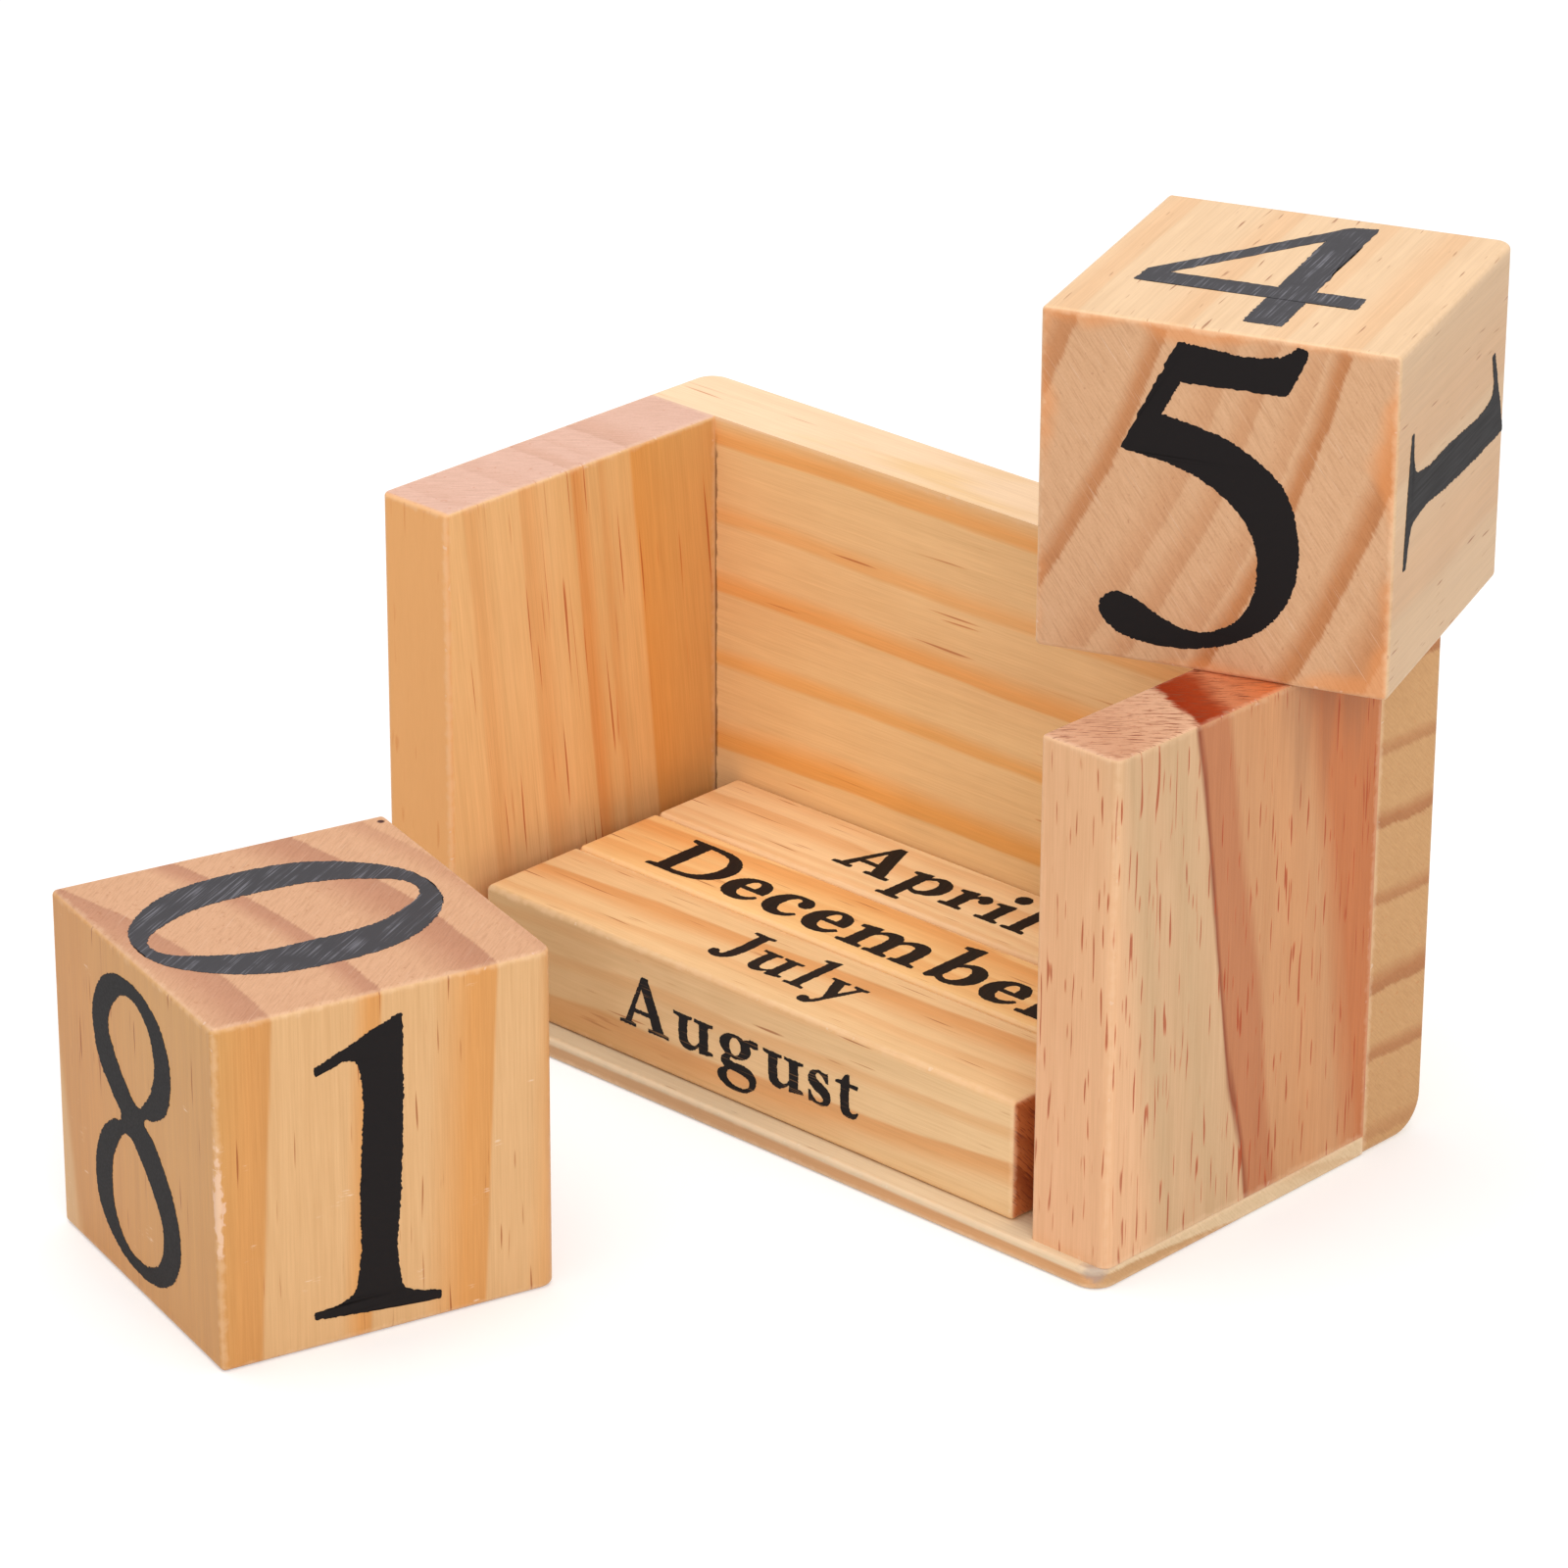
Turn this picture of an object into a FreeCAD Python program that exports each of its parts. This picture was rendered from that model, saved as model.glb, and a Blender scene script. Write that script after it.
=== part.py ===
import FreeCAD, Part
import os

# Perpetual desk calendar in lacquered pine.
# The stand is a thin base plate, two side walls and a full-height back panel, glued and bradded.
# Three month bars lie side by side on the base plate, and two number cubes make up the day.
# Millimetres; +X to the right, +Y to the rear, +Z up; origin at the centre of the stand's underside.

# ---- number cubes ----
cube_side = 45.0               # plan size of both cubes, and the height of the lower one
upper_cube_height = 43.8       # the upper cube is sawn a little short
cube_play = 11.0               # spare width with both cubes side by side in the tray
cube_edge_radius = 0.7
cube_worn_radius = 2.2         # one rubbed edge on each cube
upper_cube_yaw = 20.45         # degrees, turned on top of the rear right corner
upper_cube_inset_x = 5.4       # its centre, inside the right wall's inner face
upper_cube_inset_y = 0.9       # its centre, in front of the back panel's front face
lower_cube_yaw = -16.8         # degrees, standing loose in front of the stand
lower_cube_from_left = 47.9    # its centre, from the stand's left side
lower_cube_from_front = 58.1   # its centre, in front of the stand

# ---- month bars ----
bar_height = 16.3
front_bar_depth = 16.8
middle_bar_depth = 14.7
rear_bar_depth = 15.6
bar_end_gap = 4.5              # free space between each bar end and the side wall
bar_gap = 0.3                  # between neighbouring bars and behind the last one
bar_edge_radius = 0.8

# ---- stand ----
base_thickness = 2.8
base_lip = 1.4                 # base plate showing in front of the side walls
base_corner_radius = 3.2
bar_setback = 1.7              # front bar behind the front of the side walls
wall_thickness = 12.0
wall_height = 67.2             # side walls, standing on the base plate
wall_front_radius = 1.3        # outer front corner of each side wall
back_thickness = 11.9
back_left_radius = 3.0         # rear corners, seen from above
back_right_radius = 1.0
back_foot_radius = 5.0         # rear lower edge
arris = 0.5                    # sanded edges

# ---- brads: flat wire with a T head and a chisel point ----
brad_width = 1.25
brad_thickness = 1.0
brad_length = 20.0
brad_point = 1.5
brad_head_width = 2.0
brad_head_height = 0.5
brad_sunk = 0.3                # heads set below the surface
brad_head_play = 0.15          # torn wood beside the head
base_brad_inset = 10.0         # from each end of a side wall
rear_brad_inset = 14.0         # from the top and the underside

# ---- worked out from the sizes above ----
tray_width = 2 * cube_side + cube_play
tray_depth = bar_setback + front_bar_depth + middle_bar_depth + rear_bar_depth + 3 * bar_gap
stand_width = tray_width + 2 * wall_thickness
stand_depth = base_lip + tray_depth + back_thickness
stand_height = base_thickness + wall_height
bar_length = tray_width - 2 * bar_end_gap

left = -stand_width / 2
right = stand_width / 2
front = -stand_depth / 2
rear = stand_depth / 2
tray_left = left + wall_thickness
tray_right = right - wall_thickness
wall_front = front + base_lip
back_front = rear - back_thickness


def block(low, high):
    """Squared-up timber between two opposite corners."""
    size = [b - a for a, b in zip(low, high)]
    return Part.makeBox(*size, FreeCAD.Vector(*low))


def edges_on(shape, **planes):
    """Edges whose ends all lie on the given planes, such as x=left, z=stand_height."""
    found = []
    for edge in shape.Edges:
        ends = [vertex.Point for vertex in edge.Vertexes]
        if all(abs(getattr(end, axis) - at) < 1e-6 for end in ends for axis, at in planes.items()):
            found.append(edge)
    return found


def without(edges, unwanted):
    return [edge for edge in edges if not any(edge.isSame(other) for other in unwanted)]


# ---- brads, driven up through the base plate and forward through the back panel ----

def brad(hole=False):
    """A brad along +Z, driven in from a surface at z=0, or the hole that it makes."""
    half_head = brad_head_width / 2 + (brad_head_play if hole else 0.0)
    half_wire = brad_width / 2
    start = 0.0 if hole else brad_sunk
    shoulder = brad_sunk + brad_head_height
    tip = brad_sunk + brad_length
    side = [(half_head, start), (half_head, shoulder), (half_wire, shoulder), (half_wire, tip - brad_point)]
    outline = side + [(0.0, tip)] + [(-x, z) for x, z in reversed(side)]
    points = [FreeCAD.Vector(x, -brad_thickness / 2, z) for x, z in outline + outline[:1]]
    return Part.Face(Part.makePolygon(points)).extrude(FreeCAD.Vector(0, brad_thickness, 0))


def wall_centres():
    return [(left + tray_left) / 2, (tray_right + right) / 2]


def base_brads(hole=False):
    """Two brads up into each side wall."""
    solids = []
    for x in wall_centres():
        for y in (wall_front + base_brad_inset, back_front - base_brad_inset):
            nail = brad(hole)
            nail.translate(FreeCAD.Vector(x, y, 0))
            solids.append(nail)
    return solids


def rear_brads(hole=False):
    """Two brads through the back panel into the rear edge of each side wall."""
    solids = []
    for x in wall_centres():
        for z in (rear_brad_inset, stand_height - rear_brad_inset):
            nail = brad(hole)
            nail.rotate(FreeCAD.Vector(0, 0, 0), FreeCAD.Vector(1, 0, 0), 90)
            nail.translate(FreeCAD.Vector(x, rear, z))
            solids.append(nail)
    return solids


# ---- stand ----

def base_plate():
    plate = block((left, front, 0), (right, back_front, base_thickness))
    corners = edges_on(plate, x=left, y=front) + edges_on(plate, x=right, y=front)
    plate = plate.makeFillet(base_corner_radius, corners)
    joint = edges_on(plate, y=back_front)
    eased = without(edges_on(plate, z=0) + edges_on(plate, z=base_thickness), joint)
    plate = plate.makeFillet(arris, eased)
    return plate.cut(Part.makeCompound(base_brads(hole=True)))


def side_wall(outer, inner):
    """A side wall between its outer and inner faces, standing on the base plate."""
    wall = block((min(outer, inner), wall_front, base_thickness), (max(outer, inner), back_front, stand_height))
    wall = wall.makeFillet(wall_front_radius, edges_on(wall, x=outer, y=wall_front))
    joint = edges_on(wall, y=back_front)
    eased = without(edges_on(wall, z=stand_height), joint) + edges_on(wall, x=inner, y=wall_front)
    wall = wall.makeFillet(arris, eased)
    return wall.cut(Part.makeCompound(base_brads(hole=True) + rear_brads(hole=True)))


def back_panel():
    """Full-width board down to the table, rounded at its rear corners and along its foot."""
    panel = block((left, back_front, 0), (right, rear, stand_height))
    panel = panel.makeFillet(back_foot_radius, edges_on(panel, y=rear, z=0))
    panel = panel.makeFillet(back_left_radius, edges_on(panel, x=left, y=rear))
    panel = panel.makeFillet(back_right_radius, edges_on(panel, x=right, y=rear))
    eased = without(edges_on(panel, z=stand_height), edges_on(panel, y=back_front))
    panel = panel.makeFillet(arris, eased)
    return panel.cut(Part.makeCompound(rear_brads(hole=True)))


# ---- month bars ----

def month_bar(bar_front, depth):
    """A square bar lying on the base plate, all its edges eased."""
    low = (tray_left + bar_end_gap, bar_front, base_thickness)
    bar = block(low, (low[0] + bar_length, bar_front + depth, base_thickness + bar_height))
    return bar.makeFillet(bar_edge_radius, bar.Edges)


# ---- number cubes ----

def number_cube(height, centre_x, centre_y, bottom, yaw, worn_corner):
    """A cube turned about its upright axis; worn_corner picks its rubbed upright edge."""
    half = cube_side / 2
    cube = block((-half, -half, 0), (half, half, height))
    side_x, side_y = worn_corner
    cube = cube.makeFillet(cube_worn_radius, edges_on(cube, x=side_x * half, y=side_y * half))
    cube = cube.makeFillet(cube_edge_radius, cube.Edges)
    cube.rotate(FreeCAD.Vector(0, 0, 0), FreeCAD.Vector(0, 0, 1), yaw)
    cube.translate(FreeCAD.Vector(centre_x, centre_y, bottom))
    return cube


front_bar_at = wall_front + bar_setback
middle_bar_at = front_bar_at + front_bar_depth + bar_gap
rear_bar_at = middle_bar_at + middle_bar_depth + bar_gap

nodes = {
    "base_plate": base_plate(),
    "left_wall": side_wall(left, tray_left),
    "right_wall": side_wall(right, tray_right),
    "back_panel": back_panel(),
    "base_brads": Part.makeCompound(base_brads()),
    "rear_brads": Part.makeCompound(rear_brads()),
    "month_bar_front": month_bar(front_bar_at, front_bar_depth),
    "month_bar_middle": month_bar(middle_bar_at, middle_bar_depth),
    "month_bar_rear": month_bar(rear_bar_at, rear_bar_depth),
    "number_cube_upper": number_cube(
        upper_cube_height,
        tray_right - upper_cube_inset_x,
        back_front - upper_cube_inset_y,
        stand_height,
        upper_cube_yaw,
        worn_corner=(1, 1),
    ),
    "number_cube_lower": number_cube(
        cube_side,
        left + lower_cube_from_left,
        front - lower_cube_from_front,
        0,
        lower_cube_yaw,
        worn_corner=(1, 1),
    ),
}

os.makedirs("parts", exist_ok=True)
for name, shape in nodes.items():
    shape.exportStep("parts/" + name + ".step")
    box = shape.BoundBox
    size = "%.1f x %.1f x %.1f" % (box.XLength, box.YLength, box.ZLength)
    print(name, len(shape.Solids), "solid(s)", size, "valid" if shape.isValid() else "NOT VALID")
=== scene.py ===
import math

import bmesh
import bpy
from mathutils import Euler, Matrix, Vector, noise


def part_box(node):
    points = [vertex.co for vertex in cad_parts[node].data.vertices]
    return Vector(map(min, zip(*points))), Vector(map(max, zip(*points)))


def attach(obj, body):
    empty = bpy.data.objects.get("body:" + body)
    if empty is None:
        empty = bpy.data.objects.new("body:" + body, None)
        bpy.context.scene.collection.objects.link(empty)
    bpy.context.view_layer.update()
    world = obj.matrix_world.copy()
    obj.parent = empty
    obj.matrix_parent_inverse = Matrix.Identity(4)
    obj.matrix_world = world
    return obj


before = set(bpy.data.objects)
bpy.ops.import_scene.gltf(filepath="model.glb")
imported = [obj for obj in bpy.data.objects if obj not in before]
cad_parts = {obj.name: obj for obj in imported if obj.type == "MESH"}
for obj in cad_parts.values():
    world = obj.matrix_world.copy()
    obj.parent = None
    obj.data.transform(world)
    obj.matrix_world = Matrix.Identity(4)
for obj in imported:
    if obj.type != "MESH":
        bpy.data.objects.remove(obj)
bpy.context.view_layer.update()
mm = 0.001

# ---- Base plate ----
# The thin pine board that the side walls stand on: planed, its front corners rounded, and lacquered.
# Every board and block of the calendar is cut from pine, so the wood's material is made here and
# used again below: a log round its pith, whose growth rings show as stripes, or as arcs on end grain.


class Link:
    """A socket of a material's nodes. Python's operators on it add Math nodes."""

    def __init__(self, tree, socket=None):
        self.tree = tree
        self.socket = socket

    def node(self, kind, settings, inputs, output=0):
        """Adds a node: its settings first, then a value or a link on each named or numbered socket."""
        new = self.tree.nodes.new(kind)
        for name, value in settings.items():
            if name == "stops":
                fill_ramp(new.color_ramp, value)
            else:
                setattr(new, name, value)
        for key, value in inputs.items():
            if isinstance(value, Link):
                self.tree.links.new(value.socket, new.inputs[key])
            else:
                new.inputs[key].default_value = value
        return Link(self.tree, new.outputs[output] if new.outputs else None)

    def also(self, output):
        """Another output of the node that this socket belongs to."""
        return Link(self.tree, self.socket.node.outputs[output])

    def math(self, operation, *values):
        return self.node("ShaderNodeMath", {"operation": operation}, dict(enumerate(values)))

    def vector(self, operation, *values, output="Vector"):
        """The same for colours and places. A length or a distance is on the output called Value."""
        return self.node("ShaderNodeVectorMath", {"operation": operation}, dict(enumerate(values)), output)

    def __add__(self, other):
        return self.math("ADD", self, other)

    def __radd__(self, other):
        return self.math("ADD", other, self)

    def __sub__(self, other):
        return self.math("SUBTRACT", self, other)

    def __rsub__(self, other):
        return self.math("SUBTRACT", other, self)

    def __mul__(self, other):
        return self.math("MULTIPLY", self, other)

    def __rmul__(self, other):
        return self.math("MULTIPLY", other, self)

    def __truediv__(self, other):
        return self.math("DIVIDE", self, other)

    def __rtruediv__(self, other):
        return self.math("DIVIDE", other, self)

    def __abs__(self):
        return self.math("ABSOLUTE", self)


def fill_ramp(ramp, stops):
    """Gives a colour ramp its stops, each a position from 0 to 1 and a colour."""
    while len(ramp.elements) < len(stops):
        ramp.elements.new(1.0)
    for element, (position, colour) in zip(ramp.elements, stops):
        element.position = position
        element.color = colour


def empty_material(name):
    """A new material without nodes, and a link to make its nodes with."""
    material = bpy.data.materials.new(name)
    material.use_nodes = True
    material.node_tree.nodes.clear()
    return material, Link(material.node_tree)


def dress(node, material):
    """Gives a CAD node its material."""
    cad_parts[node].data.materials.clear()
    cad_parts[node].data.materials.append(material)


def paint(red, green, blue):
    """A colour as a paint chart gives it, 0 to 255, in the linear light that shaders use."""
    def linear(level):
        level /= 255
        return level / 12.92 if level < 0.04045 else ((level + 0.055) / 1.055) ** 2.4
    return (linear(red), linear(green), linear(blue), 1.0)


def between(low, high, value):
    """0 where the value is at low, 1 at high, with a smooth step from one to the other."""
    step = {"interpolation_type": "SMOOTHSTEP"}
    return value.node("ShaderNodeMapRange", step, {"Value": value, "From Min": low, "From Max": high})


def blend(amount, first, second):
    """The first colour, turned into the second by the amount."""
    settings = {"data_type": "RGBA", "clamp_factor": True}
    return amount.node("ShaderNodeMix", settings, {0: amount, 6: first, 7: second}, output=2)


def in_millimetres(objects, centre=(0, 0, 0), turn=(0, 0, 0)):
    """Object coordinates as millimetres from a centre, along directions that are turned with it."""
    return objects.node("ShaderNodeMapping", {"vector_type": "TEXTURE"}, {
        "Vector": objects, "Location": centre, "Rotation": turn, "Scale": (mm, mm, mm)})


def coordinate(place, axis):
    """How far a place lies along X, Y or Z."""
    return place.node("ShaderNodeSeparateXYZ", {}, {0: place}, axis)


def distance(place, point):
    return place.vector("DISTANCE", place, point, output="Value")


def stretched_noise(place, cell, detail=2.0):
    """Noise whose blobs are about as large as the cell, in the place's own millimetres."""
    scaled = place.vector("MULTIPLY", place, [1 / size for size in cell])
    return place.node("ShaderNodeTexNoise", {}, {"Vector": scaled, "Scale": 1.0, "Detail": detail})


def rings(radii, wood, late):
    """Colours outwards from the pith: each ring darkens slowly to its late wood and ends sharply.
    A ring is its outer radius, the width of its late wood and how dark that gets, from 0 to 1."""
    darkest = 0.35   # this share of the late wood is at its darkest
    line_shade = 0.06
    ring_end = 0.4
    stops = []
    for radius, width, depth in radii:
        peak = [a + (b - a) * depth for a, b in zip(wood, late)]
        line = [level * (1 - line_shade * depth) for level in peak[:3]] + [1.0]
        stops += [(radius - width, wood), (radius - darkest * width, peak),
                  (radius, line), (radius + ring_end, wood)]
    return stops


def own_box(node, turned):
    """The middle of a CAD node and half its size, measured along its own sides when it stands turned."""
    turn = Matrix.Rotation(turned, 3, "Z")
    points = [turn.transposed() @ vertex.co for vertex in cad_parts[node].data.vertices]
    low = Vector([min(point[i] for point in points) for i in range(3)])
    high = Vector([max(point[i] for point in points) for i in range(3)])
    return turn @ ((low + high) / 2), (high - low) / 2


def half_size(node, turned=0.0):
    """Half a CAD node's size along its own sides, in millimetres."""
    return own_box(node, turned)[1] / mm


def end_grain_marks(place, end, saw):
    """Pores, short strokes where the saw tore the fibres, and a few long scratches."""
    pores = (stretched_noise(place, (0.3, 0.3, 0.3), 3.0) - 0.5) * end
    saw_way = (0, 0, math.radians(90 - saw))
    slanting = place.node("ShaderNodeMapping", {}, {"Vector": place, "Rotation": saw_way})
    strokes = (stretched_noise(slanting, (0.2, 2.6, 2.6), 2.0) - 0.5) * end
    scratch = between(0.63, 0.78, stretched_noise(slanting, (0.14, 8, 8), 3.0)) * end
    return pores, strokes, scratch


def edge_distance(own, half):
    """How far a place on a block's surface is from the block's nearest edge, given half its size."""
    inset = own.vector("SUBTRACT", half, own.vector("ABSOLUTE", own))
    x = coordinate(inset, "X")
    y, z = x.also("Y"), x.also("Z")
    deepest = own.math("MAXIMUM", own.math("MAXIMUM", x, y), z)
    nearest = own.math("MINIMUM", own.math("MINIMUM", x, y), z)
    return x + y + z - deepest - nearest


torn_wood, scratched_wood, scuffed_lacquer = paint(140, 72, 48), paint(250, 228, 206), paint(255, 236, 214)
pooled_lacquer, highlit_rubbed_edge, nicked_edge = paint(234, 152, 90), paint(250, 214, 176), paint(255, 238, 222)
thin_lacquer = {"Coat Weight": 0.05, "Coat Roughness": 0.22, "Specular IOR Level": 0.14}
lacquer_relief = 0.06 * mm


def pine(name, node, grain, pith, colours, end_colours, turned=0.0, tilt=(0.0, 0.0), wander=1.0,
         canals=(0.8, 8.0, 0.72), canal_colour=(150, 84, 50), saw=134, torn=0.2, scratches=0.5,
         scuffs=0.0, rim=0.0, edge_wear_and_highlight=0.3, sloping=False, marks=None):
    """Lacquered pine for a CAD node: the axis that its grain runs along, where its log's pith lies
    beside the middle of the piece in the two directions across it, and ring colours from the pith,
    for long grain and for end grain. The log may lie tilted in the piece, with its fibres sloping
    too, and its rings wander. Resin canals have a width, a length and a rarity. The saw crossed the
    end grain at an angle from the first direction across; it tore and scratched it, and lacquer
    gathered at its rim. Handling scuffed the long grain and wore the edges, and the pale band along
    the edges is also a painted highlight. A piece's own marks lie over the rest; on the base plate
    and the front bar they hold painted shade. Lengths are in millimetres."""
    middle = own_box(node, turned)[0]
    axes = {"x": Vector((1, 0, 0)), "y": Vector((0, 1, 0)), "z": Vector((0, 0, 1))}
    crosswise = {"x": ("y", "z"), "y": ("x", "z"), "z": ("x", "y")}[grain]
    first, second = (Matrix.Rotation(turned, 3, "Z") @ axes[axis] for axis in crosswise)
    along = first.cross(second)
    log = Matrix((first, second, along)).transposed() @ Euler((tilt[0], tilt[1], 0)).to_matrix()
    pith_place = middle + (first * pith[0] + second * pith[1]) * mm

    material, start = empty_material(name)
    objects = start.node("ShaderNodeTexCoord", {}, {}, "Object")
    place = in_millimetres(objects, pith_place, log.to_euler())
    own = in_millimetres(objects, middle, (0, 0, turned))
    facing_end = abs(start.vector("DOT_PRODUCT", objects.also("Normal"), along, output="Value"))
    end = between(0.55, 0.9, facing_end)
    pores, strokes, scratch = end_grain_marks(place, end, saw)
    scratch = scratch * scratches

    # growth rings, whose line wanders a little and is frayed by the saw
    radius = start.vector("LENGTH", start.vector("MULTIPLY", place, (1, 1, 0)), output="Value")
    slow = stretched_noise(place, (24, 24, 60)) - 0.5
    quick = stretched_noise(place, (2.2, 2.2, 26), 4.0) - 0.5
    radius = radius + slow * (4.5 * wander) + quick * (0.4 + 1.0 * wander) + strokes * (0.5 + 3 * torn)
    inner, outer = colours[0][0] - 1, colours[-1][0] + 1
    share = (radius - inner) / (outer - inner)

    def ringed(stops):
        spread = [((at - inner) / (outer - inner), colour) for at, colour in stops]
        return start.node("ShaderNodeValToRGB", {"stops": spread}, {"Fac": share}, "Color")

    # long grain: fine fibres, broader warm streaks, and resin canals cut open as short dashes
    def fibres(width, length, detail):
        if sloping:
            return stretched_noise(place, (width, width, length), detail)
        return stretched_noise(own, [length if axis == grain else width for axis in "xyz"], detail)

    fine = (fibres(0.22, 9, 3.0) - 0.5) * (1 - end)
    broad = (fibres(1.1, 40, 4.0) - 0.5) * (1 - end)
    mottle = stretched_noise(own, (9, 9, 9), 3.0) - 0.5
    width, length, rarity = canals
    canal = fibres(width, length, 0.0) - slow * 0.3
    halo = between(rarity - 0.02, rarity + 0.03, canal)
    canal = between(rarity + 0.02, rarity + 0.07, canal)

    # a darker fibre is also warmer, because it loses more blue than red
    shade = fine * 0.30 + broad * 0.22 + pores * 0.2 + strokes * 0.34 + mottle * 0.10
    warmth = start.node("ShaderNodeCombineXYZ", {}, {
        0: 1 + shade * 0.75, 1: 1 + shade, 2: 1 + shade * 1.35})
    colour = blend(end, ringed(colours), ringed(end_colours))
    colour = start.vector("MULTIPLY", colour, warmth)
    red, green, blue = canal_colour
    colour = blend(halo * (0.5 + broad) * (1 - 0.7 * end), colour, paint(red, green, blue))
    colour = blend(canal * (0.5 - 0.4 * end), colour, paint(0.82 * red, 0.66 * green, 0.62 * blue))
    colour = blend(between(0.05, 0.15, strokes * -1.0) * torn, colour, torn_wood)
    colour = blend(scratch * 0.4, colour, scratched_wood)
    scuffed = between(0.66, 0.74, stretched_noise(own, (5, 5, 4), 2.0)) * (1 - end)
    scuff = between(0.56, 0.7, stretched_noise(own, (2.0, 2.0, 0.25), 2.0)) * scuffed
    colour = blend(scuff * scuffs, colour, scuffed_lacquer)
    if marks:
        colour = marks(colour, own)

    # edges: the lacquer is thin and the wood paler where a sanded edge has been rubbed, and this pale
    # band along every edge is also a painted highlight
    from_edge = edge_distance(own, half_size(node, turned))
    gathered = between(2.6, 0.2, from_edge + slow * 16 + mottle * 6) * end * rim
    colour = blend(gathered, colour, pooled_lacquer)
    nicks = stretched_noise(own, (1.3, 1.3, 1.3), 4.0) - 0.5
    worn_and_highlit = between(0.9, 0.1, from_edge + nicks * 1.6)
    colour = blend(worn_and_highlit * edge_wear_and_highlight, colour, highlit_rubbed_edge)
    nicked = between(0.15, 0.22, nicks) * between(0.8, 0.4, from_edge)
    colour = blend(nicked * edge_wear_and_highlight, colour, nicked_edge)

    height = fine * 0.5 + pores + strokes * 0.8 + scratch * -0.5 + canal * -0.8
    bump = start.node("ShaderNodeBump", {}, {
        "Height": height, "Strength": 0.35, "Distance": lacquer_relief})
    roughness = 0.40 + fine * 0.2 + end * 0.1 + canal * 0.1
    surface = start.node("ShaderNodeBsdfPrincipled", {}, {
        "Base Color": colour, "Roughness": roughness, "Normal": bump, **thin_lacquer})
    start.node("ShaderNodeOutputMaterial", {}, {"Surface": surface})
    dress(node, material)


cream = paint(232, 208, 173)
base_rings = [(200.4, 2.6, 1.0), (205, 1.5, 0.3)]


def shade_and_knock(colour, own):
    """Painted shade towards the base plate's left end, where the lower cube shades it, and a grey,
    rubbed knock at its right front corner.
    """
    painted_shade = between(40, -20, coordinate(own, "X"))
    colour = blend(painted_shade * 0.3, colour, paint(158, 146, 122))
    ragged = stretched_noise(own, (1.2, 1.2, 1.2), 4.0) - 0.5
    half = half_size("base_plate")
    corner = (half.x - 1.1, 1.15 - half.y, half.z - 0.2)
    knock = between(2.6, 0.8, distance(own, corner) + ragged * 4)
    return blend(knock * 0.6, colour, paint(168, 148, 142))


pine("base_pine", "base_plate", "x", (-25.5, -200.0), rings(base_rings, cream, paint(220, 166, 116)),
     rings(base_rings, paint(226, 196, 156), paint(206, 160, 112)), wander=0.1, canals=(0.6, 5.0, 0.86),
     torn=0.0, marks=shade_and_knock)

# ---- Side walls ----
# Two short boards on end, glued and bradded to the base plate with their grain upright.
# The left one is honey coloured, and the right one has a resinous streak between pale and red wood.

left_tilt = math.radians(5.8)
left_rings = [(162.4, 6, 0.9), (168, 1.6, 0.3), (172.8, 3, 0.75), (182.4, 4.5, 0.4), (192.2, 4, 0.3)]
honey, late_honey = paint(242, 194, 135), paint(228, 153, 84)
pale_honey = paint(234, 184, 123)


def front_ring(colour, own):
    """The left wall's front edge was sawn along an orange ring, less than a millimetre deep."""
    front = -half_size("left_wall").y
    edge = between(front + 0.95, front + 0.15, coordinate(own, "Y"))
    return blend(edge * 0.8, colour, paint(236, 168, 100))


pine("left_wall_pine", "left_wall", "z", (0.0, 175.0),
     [(148, paint(224, 169, 104)), (156, paint(226, 167, 98)), (162, paint(229, 162, 88)),
      (162.6, paint(234, 183, 121))]
     + rings(left_rings[1:3], pale_honey, late_honey) + rings(left_rings[3:], honey, late_honey),
     rings(left_rings, paint(226, 180, 158), paint(219, 169, 144)),
     tilt=(left_tilt, 0.0), wander=0.4, canals=(0.6, 22.0, 0.76), canal_colour=(206, 98, 42),
     saw=43, torn=0.05, scratches=0.1, sloping=True, marks=front_ring)

right_tilt = math.radians(8.9)
pale, straw = paint(214, 172, 130), paint(206, 168, 126)
red_line, red_wood = paint(146, 72, 40), paint(190, 122, 80)
tan_wood, rust = paint(205, 148, 102), paint(196, 117, 68)
right_rings = [
    (94, paint(236, 182, 138)), (104, paint(230, 180, 136)), (108, straw), (111, pale), (115, straw),
    (119.2, pale), (119.7, red_line), (120.4, red_wood), (124.5, red_wood), (126, tan_wood),
    (132, paint(210, 150, 102)), (137, tan_wood), (141, rust), (150, rust)]
pink, resin = paint(228, 180, 146), paint(154, 44, 6)
right_end_rings = [
    (94, pink), (108, paint(212, 158, 124)), (119.4, pink), (120, resin), (124.5, paint(170, 62, 24)),
    (127.0, paint(216, 134, 92)), (133, paint(222, 120, 66)), (150, paint(214, 144, 104))]


def smoky(colour, own):
    """A brown stain at the top of the right wall, towards the rear, that runs down with the grain."""
    y = coordinate(own, "Y")
    streak = stretched_noise(own, (3, 3, 40), 3.0) - 0.5
    stain = between(18, 32, y.also("Z") + streak * 50) * between(3, 8, y + streak * 8)
    return blend(stain * 0.4, colour, paint(160, 108, 74))


pine("right_wall_pine", "right_wall", "z", (-44.0, -114.5), right_rings, right_end_rings,
     tilt=(right_tilt, 0.0), wander=1.4, canals=(0.45, 6.0, 0.705), canal_colour=(190, 82, 36),
     saw=43, torn=0.9, scratches=0.1, edge_wear_and_highlight=0.2, marks=smoky)

# ---- Back panel ----
# One board across the rear, standing on the table, with its grain running from side to side.
# It is glued behind the base plate and the walls, and its rings show as arcs on its ends.

back_rings = [(153, 3, 0.6), (164, 3.2, 0.9), (175, 3, 0.6), (185, 3.5, 0.9), (195.5, 3, 0.7),
              (207, 4.5, 0.9), (217, 3.5, 0.8), (228, 3, 0.4)]
top_of_back = paint(252, 214, 172)


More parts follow.
